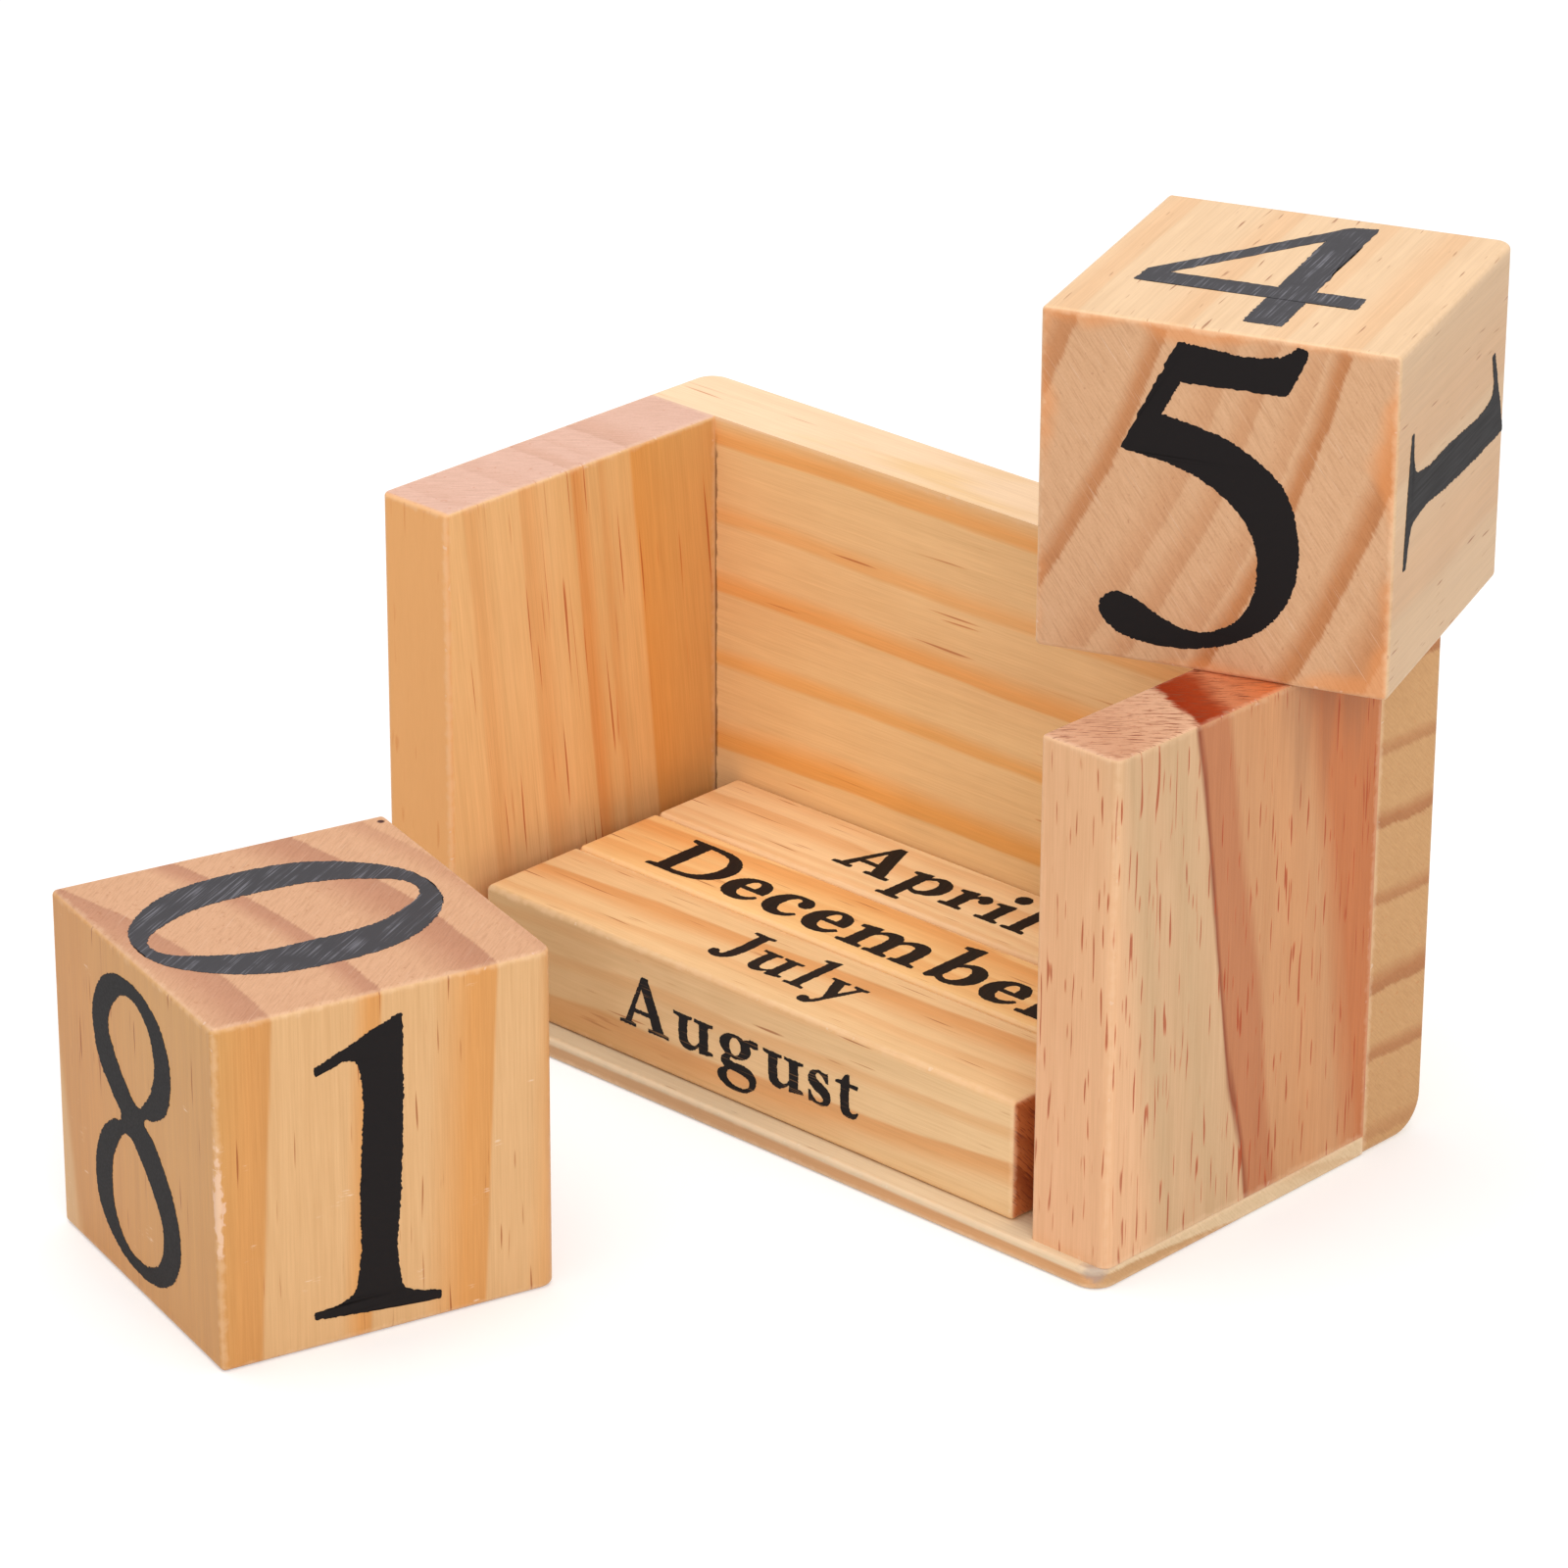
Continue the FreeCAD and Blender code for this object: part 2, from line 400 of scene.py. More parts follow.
def glue_line(colour, own):
    """Glue and dust in the corner where the left wall meets the back panel."""
    wall_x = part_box("left_wall")[1].x / mm
    half = half_size("back_panel")
    top, front = half.z, -half.y
    x = coordinate(own, "X")
    ragged = stretched_noise(own, (0.6, 0.6, 1.5), 4.0) - 0.5
    inside = between(top - 1, top - 7, x.also("Z")) * between(front + 0.95, front + 0.35, x.also("Y"))
    glue = between(0.45, 0.2, abs(x - wall_x) + ragged * 0.9) * inside
    return blend(glue * 0.75, colour, paint(120, 72, 44))


pine("back_pine", "back_panel", "x", (0.0, 195.0),
     [(152, top_of_back), (160.6, top_of_back)]
     + rings(back_rings[1:4], paint(247, 204, 148), paint(248, 179, 105))
     + rings(back_rings[4:], paint(250, 212, 156), paint(249, 182, 99)),
     rings([(radius, 0.75 * width, 0.9 * depth) for radius, width, depth in back_rings],
           paint(204, 156, 106), paint(176, 112, 68)),
     wander=0.7, canals=(0.6, 16.0, 0.785), canal_colour=(214, 128, 70),
     torn=0.02, scratches=0.1, marks=glue_line)

# ---- Brads ----
# Flat steel wire brads, driven up through the base plate and forward through the back panel.
# Only their flat heads show, sunk just under the wood; they are bright, with a few rubbed marks.

steel, steel_start = empty_material("brad_steel")
steel_place = in_millimetres(steel_start.node("ShaderNodeTexCoord", {}, {}, "Object"))
rubbed = stretched_noise(steel_place, (0.4, 0.4, 0.4), 3.0)
bright_wire = steel_start.node("ShaderNodeBsdfPrincipled", {}, {
    "Base Color": blend(rubbed, paint(150, 148, 144), paint(196, 194, 190)),
    "Metallic": 1.0, "Roughness": 0.25 + rubbed * 0.25})
steel_start.node("ShaderNodeOutputMaterial", {}, {"Surface": bright_wire})
dress("base_brads", steel)
dress("rear_brads", steel)

# ---- Month bars ----
# Three square pine bars with a month printed on each long face, so that four months share a bar.
# The names are screen printed in black ink, which lies as a thin skin and bleeds a little at its edges.

# Each bar: the body it rides on, its pith, its early and late wood, the log's tilt and its rings.
bar_wood = {
    "month_bar_front": (
        "front_bar", (-30.0, -22.0), paint(239, 200, 149), paint(227, 161, 98), 0.05,
        [(28.8, 3, 0.8), (33, 1.5, 0.4), (36.5, 1.2, 0.3), (40, 1.5, 0.3), (45, 3.5, 0.8), (49, 1.5, 0.3)]),
    "month_bar_middle": (
        "middle_bar", (-24.0, -30.0), paint(250, 206, 144), paint(236, 160, 86), 0.01,
        [(30, 3, 0.6), (36, 2, 0.8), (43.5, 1.5, 0.4), (45, 1, 0.3), (48.2, 3, 0.65)]),
    "month_bar_rear": (
        "rear_bar", (-34.0, -26.0), paint(250, 216, 168), paint(236, 180, 120), 0.0,
        [(30, 2, 0.6), (36, 3, 0.5), (43.5, 1.5, 0.4), (45, 1, 0.3), (49.5, 3, 0.6), (53, 2, 0.4)]),
}


def shaded_by_cube(colour, own):
    """Painted shade on the front of the front bar, strongest at its left end, where the lower cube shades
    it.
    """
    front = -half_size("month_bar_front").y
    x = coordinate(own, "X")
    patchy = stretched_noise(own, (14, 6, 5), 3.0) - 0.5
    painted_shade = between(2, -38, x + patchy * 30) * between(front + 0.9, front + 0.2, x.also("Y"))
    return blend(painted_shade * 0.55, colour, paint(176, 130, 78))


for bar, (body, pith, wood, late, lean, bar_rings) in bar_wood.items():
    pine(bar + "_pine", bar, "x", pith, rings(bar_rings, wood, late),
         rings(bar_rings, paint(196, 116, 66), paint(158, 82, 44)), tilt=(0.0, lean),
         wander=0.9, canals=(0.45, 10.0, 0.80), canal_colour=(186, 112, 64), torn=0.8, scratches=0.2,
         marks=shaded_by_cube if body == "front_bar" else None)

# Outlines in tenths of a capital's height, from the foot of the letter; a star marks a sharp corner.
foot = "0,0* 4.2,0* 4.2,.55* 3.1,.8* "
short_head = "3.1,6.4* 2.6,6.4* 0,5.9* 0,5.4* 1.1,5.2* 1.1,.8* 0,.55*"
tall_head = "3.1,10.7* 2.6,10.7* 0,10.1* 0,9.6* 1.1,9.4* 1.1,.8* 0,.55*"
arch = ("3.1,4.3* 4,5.2 5.2,5.1 5.6,4.2 5.6,.8* 4.7,.55* 4.7,0* 8.8,0* 8.8,.55* 7.6,.8* 7.6,4.2 7.2,5.8 "
        "5.8,6.5 4.2,6.1 3.1,5.2* ")
letters = {
    "A": ["0,0* 3.6,0* 3.6,.6* 2.6,.8* 3.2,2.8* 6.7,2.8* 7.4,.8* 6.4,.6* 6.4,0* 11,0* 11,.6* 9.9,.8* "
          "6.2,10.2* 4.9,10.2* 1.3,.8* 0,.6*",
          "3.35,3.6* 6.4,3.6* 4.85,7.8*"],
    "D": ["0,0* 5.2,0* 8.6,.7 10.8,2.6 11.5,5.1 10.8,7.5 8.6,9.4 5.2,10* 0,10* 0,9.4* 1.4,9.1* 1.4,.9* "
          "0,.6*",
          "3.6,.8* 5,.8* 7.6,1.5 8.9,3.2 9.3,5.1 8.9,6.9 7.6,8.5 5,9.2* 3.6,9.2*"],
    "F": ["0,0* 5,0* 5,.55* 3.6,.85* 3.6,4.7* 5.2,4.7* 5.8,3.4* 6.4,3.4* 6.4,7* 5.8,7* 5.2,5.5* 3.6,5.5* "
          "3.6,9.2* 6,9.2* 7.6,7.2* 8.3,7.2* 8.1,10* 0,10* 0,9.45* 1.4,9.15* 1.4,.85* 0,.55*"],
    "J": ["1.2,10* 5.8,10* 5.8,9.4* 4.8,9.1* 4.8,2.2 4.2,.5 2.8,-.5 1,-.5 0,.4 .3,1.5 1.3,1.5 1.9,.8 "
          "2.4,.9 2.7,2.2 2.7,9.1* 1.2,9.4*"],
    "M": ["0,0* 3.6,0* 3.6,.55* 2.5,.85* 2.5,7.6* 5.7,0* 6.4,0* 9.7,7.8* 9.7,.85* 8.6,.55* 8.6,0* 13.2,0* "
          "13.2,.55* 11.9,.85* 11.9,9.15* 13.2,9.45* 13.2,10* 9.7,10* 6.8,3.2* 3.9,10* 0,10* 0,9.45* "
          "1.6,9.15* 1.6,.85* 0,.55*"],
    "N": ["0,0* 3.6,0* 3.6,.55* 2.5,.85* 2.5,7.7* 8.9,-.1* 9.9,-.1* 9.9,9.15* 11,9.45* 11,10* 7.6,10* "
          "7.6,9.45* 9,9.15* 9,3.4* 3.7,10* 0,10* 0,9.45* 1.6,9* 1.6,.85* 0,.55*"],
    "O": ["5.3,-.2 8.6,1 10.5,5 8.6,9 5.3,10.2 2,9 .1,5 2,1",
          "5.3,.6 7.3,1.8 8.1,5 7.3,8.2 5.3,9.4 3.3,8.2 2.5,5 3.3,1.8"],
    "S": [".6,0* .4,3.2* 1.1,3.2* 2.2,1.3 4.2,.6 5.9,1.5 5.6,2.9 3.4,4.1 1.1,5.6 .6,7.6 2,9.6 4.4,10.2 "
          "6.2,9.7* 6.9,10.2* 7.1,7.2* 6.4,7.2* 5.6,8.8 4,9.5 2.6,8.7 2.9,7.4 5.3,6.2 7.4,4.6 7.7,2.2 "
          "6,.2 3.6,-.2 1.5,.4*"],
    "a": ["7.3,.4* 6.4,-.1 5.2,0 4.6,.8* 3.4,-.1 1.6,-.1 .2,1.4 .8,3 2.8,3.7 4.4,4* 4.4,4.8 3.7,5.7 "
          "2.9,5.5 2.5,4.5 1.3,4.1 .6,4.9 1.4,6.1 3.4,6.5 5.6,6.1 6.4,4.7 6.4,1.4 6.8,.9 7.3,.9*",
          "4.4,3.3* 3.1,2.9 2.3,1.8 2.8,.9 3.7,.9 4.4,1.7*"],
    "b": ["3.1,10.7* 2.6,10.7* 0,10.1* 0,9.6* 1.1,9.4* 1.1,0* 1.8,-.2* 2.7,.5* 4.1,-.1 5.8,0 7.6,1.2 "
          "8.3,3.3 7.5,5.6 5.6,6.5 4.1,6.2 3.1,5.5*",
          "3.1,1.4* 3.9,.8 5,.9 5.9,2 6.1,3.3 5.7,4.7 4.8,5.4 3.9,5.2 3.1,4.6*"],
    "c": ["6.3,1.6* 5.2,.4 3.6,-.15 1.8,.2 .5,1.4 .1,3.1 .6,4.9 1.9,6.2 3.8,6.5 5.5,6.2 6.3,5.1 6,4.1 "
          "5,3.9 4.3,4.5 4.2,5.4 3.5,5.85 2.7,5.3 2.35,3.6 2.5,2.2 3.3,1.2 4.6,1 5.9,1.9*"],
    "e": ["6.5,3* 6.3,4.8 5.2,6.2 3.5,6.5 1.6,5.9 .3,4.3 .1,2.9 .6,1.2 1.9,.1 3.7,-.15 5.4,.4 6.5,1.7* "
          "6.1,2* 5.1,1.15 3.9,.95 2.8,1.6 2.35,3*",
          "2.4,3.7* 4.5,3.7* 4.4,5 3.5,5.85 2.6,5.1"],
    "g": ["8.8,6.6* 8.8,5.5* 7.9,5.3 7,5.5* 7.2,4.3 6.3,2.8 4.2,2 2.9,2* 2.5,1.6 3,1.3 5.6,1.2 7.7,.5 "
          "8.4,-1.1 7.4,-3.1 4.4,-4.1 1.4,-3.7 -.1,-2.3 .3,-1 1.5,-.3* .7,.5 .8,1.6 1.7,2.4* .6,3.3 "
          ".3,4.4 1.3,5.9 3.7,6.6 5.6,6.2* 7,6.7*",
          "3.7,2.6 2.8,3.1 2.5,4.3 2.9,5.5 3.7,6 4.6,5.5 5,4.3 4.6,3.1",
          "2.4,-.6 1.9,-1.6 2.6,-2.8 4.6,-3.3 6.5,-2.7 6.9,-1.6 6,-.8 4,-.5"],
    "h": [foot + arch + tall_head],
    "i": [foot + short_head, "2.1,7.9 3.4,9.2 2.1,10.5 .8,9.2"],
    "l": [foot + tall_head],
    "m": [foot + "3.1,4.3* 4,5.2 5.3,5.1 5.7,4.2 5.7,.8* 4.9,.55* 4.9,0* 8.7,0* 8.7,.55* 7.7,.8* 7.7,4.3* "
          "8.6,5.2 9.9,5.1 10.3,4.2 10.3,.8* 9.5,.55* 9.5,0* 13.6,0* 13.6,.55* 12.4,.8* 12.4,4.2 12,5.8 "
          "10.6,6.5 8.9,6.2 7.5,5.2* 6.8,6.2 5.6,6.5 4.2,6.1 3.1,5.2* "
          + short_head],
    "n": [foot + arch + short_head],
    "o": ["3.7,-.15 6.2,.9 7.3,3.2 6.2,5.5 3.7,6.5 1.2,5.5 .1,3.2 1.2,.9",
          "3.7,.6 4.8,1.5 5.2,3.2 4.8,4.9 3.7,5.8 2.6,4.9 2.2,3.2 2.6,1.5"],
    "p": ["0,-3.6* 4.3,-3.6* 4.3,-3.05* 3.1,-2.8* 3.1,.4* 4.2,-.1 5.6,0 7.5,1.1 8.3,3.3 7.5,5.6 5.6,6.5 "
          "4.1,6.1 3.1,5.3* 3.1,6.4* 2.6,6.4* 0,5.9* 0,5.4* 1.1,5.2* 1.1,-2.8* 0,-3.05*",
          "3.1,1.2* 3.9,.7 5,.9 5.9,2 6.1,3.3 5.7,4.7 4.8,5.4 3.9,5.2 3.1,4.5*"],
    "r": [foot + "3.1,3.9* 3.7,4.9 4.3,4.9 4.6,4.1 5.4,3.9 6.1,4.6 6,5.8 5.1,6.5 4,6.1 3.1,4.9* "
          + short_head],
    "s": [".4,.1* .3,2.2* .8,2.2* 1.4,1.1 2.7,.45 3.5,.9 3.2,1.7 1.6,2.6 .4,3.7 .5,5.4 2.2,6.5 3.9,6.3* "
          "4.5,6.5* 4.6,4.5* 4.1,4.5* 3.5,5.4 2.5,5.9 1.9,5.4 2.3,4.7 4,3.8 5.1,2.5 4.8,.8 3,-.15 1.2,.2*"],
    "t": ["0,5.7* 0,6.2* 1.3,6.6* 2.3,8* 3,8* 3,6.4* 4.8,6.4* 4.8,5.7* 3,5.7* 3,1.8 3.4,1 4.2,1 4.7,1.4* "
          "5,1.1* 4.3,.1 2.8,-.15 1.5,.3 1.1,1.6 1.1,5.7*"],
    "v": ["0,6.4* 0,5.85* .8,5.6* 3.5,-.1* 4.3,-.1* 6.9,5.6* 7.9,5.85* 7.9,6.4* 4.9,6.4* 4.9,5.85* "
          "5.9,5.6* 4.6,2.6* 3.1,5.6* 3.9,5.85* 3.9,6.4*"],
    "y": ["0,6.4* 0,5.85* .8,5.6* 3.5,.2* 3.1,-.9 2.5,-1.6 1.9,-1.2 1,-1.1 .4,-1.9 .9,-2.9 2.2,-3.1 "
          "3.4,-2.3 4.3,-.5* 6.9,5.6* 7.9,5.85* 7.9,6.4* 4.9,6.4* 4.9,5.85* 5.9,5.6* 4.5,2.5* 3.1,5.6* "
          "3.9,5.85* 3.9,6.4*"],
}


def outline(text):
    """The points of an outline and whether each is a sharp corner."""
    points = []
    for word in text.split():
        x, y = word.rstrip("*").split(",")
        points.append((float(x), float(y), word.endswith("*")))
    return points


letter_outlines = {letter: [outline(text) for text in texts] for letter, texts in letters.items()}
# a u is an n turned upside down
letter_outlines["u"] = [[(8.8 - x, 6.4 - y, sharp) for x, y, sharp in outline(letters["n"][0])]]


def printed_word(word, start, end, baseline, capital):
    """A month's name fitted between two places along a bar, as outlines in millimetres."""
    gap = 1.1
    placed, pen = [], 0.0
    for letter in word:
        outlines = letter_outlines[letter]
        left_side = min(x for points in outlines for x, y, sharp in points)
        for points in outlines:
            placed.append([(x - left_side + pen, y, sharp) for x, y, sharp in points])
        pen += max(x for points in outlines for x, y, sharp in points) - left_side + gap
    wide = (end - start) / (pen - gap)
    tall = capital / 10
    return [[(start + x * wide, baseline + y * tall, sharp) for x, y, sharp in points] for points in placed]


# in millimetres
ink_thickness = 0.04
ink_soaked_in = 0.005
tooth_sizes = (1.1, 0.24)
noise.seed_set(7)   # so that the ink bleeds alike in every run


def filled_outlines(outlines):
    """A flat mesh of the outlines, with the inner ones left open."""
    curve = bpy.data.curves.new("ink", "CURVE")
    curve.dimensions = "2D"
    curve.fill_mode = "BOTH"
    curve.resolution_u = 6
    for points in outlines:
        spline = curve.splines.new("BEZIER")
        spline.bezier_points.add(len(points) - 1)
        spline.use_cyclic_u = True
        for knot, (x, y, sharp) in zip(spline.bezier_points, points):
            knot.co = (x, y, 0)
            knot.handle_left_type = knot.handle_right_type = "VECTOR" if sharp else "AUTO"
    drawn = bpy.data.objects.new("ink", curve)
    bpy.context.scene.collection.objects.link(drawn)
    bpy.context.view_layer.update()
    flat = bpy.data.meshes.new_from_object(drawn.evaluated_get(bpy.context.evaluated_depsgraph_get()))
    bpy.data.objects.remove(drawn)
    return flat


def ink_skin(outlines, corner, right, up, swell=0.0, bleed=0.2):
    """A thin skin of ink for outlines drawn from a face's corner, along its right and up directions.
    The ink may swell beyond its outlines, and it bleeds a little either way in fine teeth."""
    flat = filled_outlines(outlines)
    skin = bmesh.new()
    skin.from_mesh(flat)
    bmesh.ops.remove_doubles(skin, verts=skin.verts, dist=0.001)
    # the rim is halved again and again, until it is fine enough for the teeth
    for longest in (4.0, 2.0, 1.0, 0.5, 0.2):
        rim = [edge for edge in skin.edges if edge.is_boundary and edge.calc_length() > longest]
        bmesh.ops.subdivide_edges(skin, edges=rim, cuts=1)
    skin.verts.index_update()
    coarse, fine = tooth_sizes
    ragged = [(noise.noise_vector(vertex.co / coarse) / 3 + noise.noise_vector(vertex.co / fine)) * bleed
              for vertex in skin.verts]
    for edge in skin.edges:
        if edge.is_boundary:
            outwards = (edge.verts[1].co - edge.verts[0].co).cross(Vector((0, 0, 1))).normalized()
            if outwards.dot(edge.link_faces[0].calc_center_median() - edge.verts[0].co) > 0:
                outwards = -outwards
            for vertex in edge.verts:
                ragged[vertex.index] += outwards * swell / 2
    for vertex in skin.verts:
        vertex.co.xy += ragged[vertex.index].xy
    raised = bmesh.ops.extrude_face_region(skin, geom=skin.faces[:])
    top = [item for item in raised["geom"] if isinstance(item, bmesh.types.BMVert)]
    bmesh.ops.translate(skin, verts=top, vec=(0, 0, ink_thickness))
    out = right.cross(up)
    place = Matrix((right, up, out)).transposed().to_4x4() @ Matrix.Scale(mm, 4)
    place.translation = corner - out * ink_soaked_in * mm
    bmesh.ops.transform(skin, matrix=place, verts=skin.verts)
    skin.to_mesh(flat)
    skin.free()
    return flat


# The ink is worn thin in slanting streaks on the tops of the cubes, where they are held, and it has
# cracked along the grain on the front of the front bar. On the cube tops all the ink is also painted
# greyer, a painted reflection of the light from above.
ink, ink_start = empty_material("black_ink")
ink_objects = ink_start.node("ShaderNodeTexCoord", {}, {}, "Object")
streaks_turn = (0, 0, math.radians(20))
ink_place = in_millimetres(ink_objects, turn=streaks_turn)
ink_facing = coordinate(ink_objects.also("Normal"), "Z")
ink_height = coordinate(ink_place, "Z")
ink_streak = stretched_noise(ink_place, (0.24, 9, 0.3), 1.0)
ink_patch = stretched_noise(ink_place, (4, 4, 4), 3.0)
# ink facing up on the cube tops: a painted reflection of the light from above, with worn streaks over it
sheened_and_rubbed_top = between(0.5, 0.9, ink_facing) * between(30, 35, ink_height)
thin_and_sheened_ink = (0.26 + between(0.5, 0.78, ink_streak) * between(0.3, 0.65, ink_patch)) * sheened_and_rubbed_top
cracks = stretched_noise(in_millimetres(ink_objects), (9, 9, 0.2), 2.0)
on_front_bar = (between(-0.5, -0.9, ink_facing.also("Y")) * between(-55, -45, ink_height.also("Y"))
                * between(24, 20, ink_height))
cracked = between(0.6, 0.68, cracks) * on_front_bar
ink_colour = blend(thin_and_sheened_ink, paint(29, 25, 25), paint(116, 114, 120))
ink_colour = blend(cracked * 0.6, ink_colour, paint(150, 112, 76))
matt_ink = ink_start.node("ShaderNodeBsdfPrincipled", {}, {
    "Base Color": ink_colour, "Roughness": 0.45 + ink_streak * 0.2, "Specular IOR Level": 0.1})
ink_start.node("ShaderNodeOutputMaterial", {}, {"Surface": matt_ink})


def print_on(name, skins, body):
    """Joins the skins of ink on one piece of wood into one piece that moves with it."""
    joined = bmesh.new()
    for skin in skins:
        joined.from_mesh(skin)
        bpy.data.meshes.remove(skin)
    bmesh.ops.remove_doubles(joined, verts=joined.verts, dist=0.0005 * mm)
    bmesh.ops.recalc_face_normals(joined, faces=joined.faces)
    mesh = bpy.data.meshes.new(name)
    joined.to_mesh(mesh)
    joined.free()
    mesh.materials.append(ink)
    piece = bpy.data.objects.new(name, mesh)
    bpy.context.scene.collection.objects.link(piece)
    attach(piece, body)


# Each name: where it starts and ends along the bar, its baseline above the face's lower edge,
# and the height of its capital. The faces follow each other as the bar is rolled forwards.
month_names = {
    "month_bar_front": [("August", 24.6, 66.3, 4.9, 7.3), ("July", 34.8, 58.2, 5.5, 8.3),
                        ("June", 33.5, 59.5, 5.2, 8.0), ("May", 35.0, 57.5, 5.2, 8.0)],
    "month_bar_middle": [("September", 9.5, 83.0, 3.4, 9.0), ("December", 10.2, 80.5, 2.4, 9.6),
                         ("November", 10.0, 81.0, 3.4, 9.0), ("October", 18.0, 74.0, 3.4, 9.0)],
    "month_bar_rear": [("January", 21.0, 71.5, 4.9, 8.4), ("April", 27.5, 60.6, 4.7, 8.6),
                       ("March", 26.5, 66.0, 4.9, 8.4), ("February", 17.5, 74.5, 4.9, 8.4)],
}
rightwards, rearwards, upwards = Vector((1, 0, 0)), Vector((0, 1, 0)), Vector((0, 0, 1))
for bar, names in month_names.items():
    low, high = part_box(bar)
    front_foot = low
    front_head = Vector((low.x, low.y, high.z))
    rear_head = Vector((low.x, high.y, high.z))
    rear_foot = Vector((low.x, high.y, low.z))
    faces = [(front_foot, upwards), (front_head, rearwards), (rear_head, -upwards), (rear_foot, -rearwards)]
    fullness = 0.0 if bar == "month_bar_front" else 0.1
    skins = [ink_skin(printed_word(*name), corner, rightwards, up, swell=fullness, bleed=0.12)
             for name, (corner, up) in zip(names, faces)]
    print_on(bar + "_names", skins, bar_wood[bar][0])

# ---- Number cubes ----
# Two sawn pine blocks that make up the day: 0 to 5 on one, and 0, 1, 2, 6, 7 and 8 on the other.
# The saw's marks are left on their end grain, under the lacquer, and the digits are screen printed.

upper_turn = math.radians(20.45)
upper_pale, upper_tan = paint(235, 197, 154), paint(213, 175, 133)
upper_end_rings = [(139, 3.5, 0.75), (149.9, 2.6, 0.8), (158.8, 4, 0.3), (163.6, 3, 0.4),
                   (169.3, 3, 0.28), (172.2, 2.4, 0.9), (181.9, 3.4, 0.9), (189.6, 5, 0.7)]
pine("upper_cube_pine", "number_cube_upper", "y", (-150.5, 63.3),
     rings([(138.8, 5, 0.45), (152, 5, 0.45), (164, 4, 0.35), (172.8, 5, 0.45)],
           upper_pale, paint(231, 175, 122))
     + [(177.4, upper_pale), (178.4, upper_tan)]
     + rings([(182.2, 4, 0.45), (188.6, 5, 0.5)], paint(214, 176, 134), paint(210, 158, 110)),
     rings(upper_end_rings, paint(214, 167, 127), paint(190, 124, 76)),
     turned=upper_turn, wander=0.28, canals=(0.5, 6.0, 0.775), canal_colour=(172, 110, 70), saw=126,
     torn=0.07, scratches=0.9, rim=0.5)

lower_turn = math.radians(-16.8)
lower_rings = [(112.7, 7.5, 0.9), (127.0, 3.8, 1.0), (142.4, 8.5, 1.0), (151.5, 3.5, 0.5)]
lower_pale = paint(222, 175, 123)


def chipped(colour, own):
    """A chip down the middle of the lower cube's front edge, and a speck of pitch at its far corner."""
    half = half_size("number_cube_lower", lower_turn)
    edge, speck = (half.x, -half.y, 0.0), (1.9 - half.x, half.y - 1.3, half.z)
    along_edge = own.vector("MULTIPLY", own, (1, 1, 0.14))
    ragged = stretched_noise(own, (0.9, 0.9, 1.6), 3.0) - 0.5
    chip = between(1.0, 0.7, distance(along_edge, edge) + ragged * 2.6)
    colour = blend(chip * 0.7, colour, paint(240, 200, 172))
    return blend(between(0.6, 0.3, distance(own, speck)), colour, paint(70, 34, 30))


pine("lower_cube_pine", "number_cube_lower", "z", (17.0, -129.0),
     rings(lower_rings[:1], paint(210, 155, 92), paint(214, 150, 86))[:3] + [(113.2, lower_pale)]
     + rings(lower_rings[1:], lower_pale, paint(221, 156, 90)),
     rings(lower_rings, paint(216, 165, 127), paint(194, 137, 105)),
     turned=lower_turn, wander=0.2, tilt=(-0.055, 0.0), canals=(0.5, 9.0, 0.785),
     canal_colour=(176, 104, 54), torn=0.07, scratches=0.6, scuffs=0.6, marks=chipped)

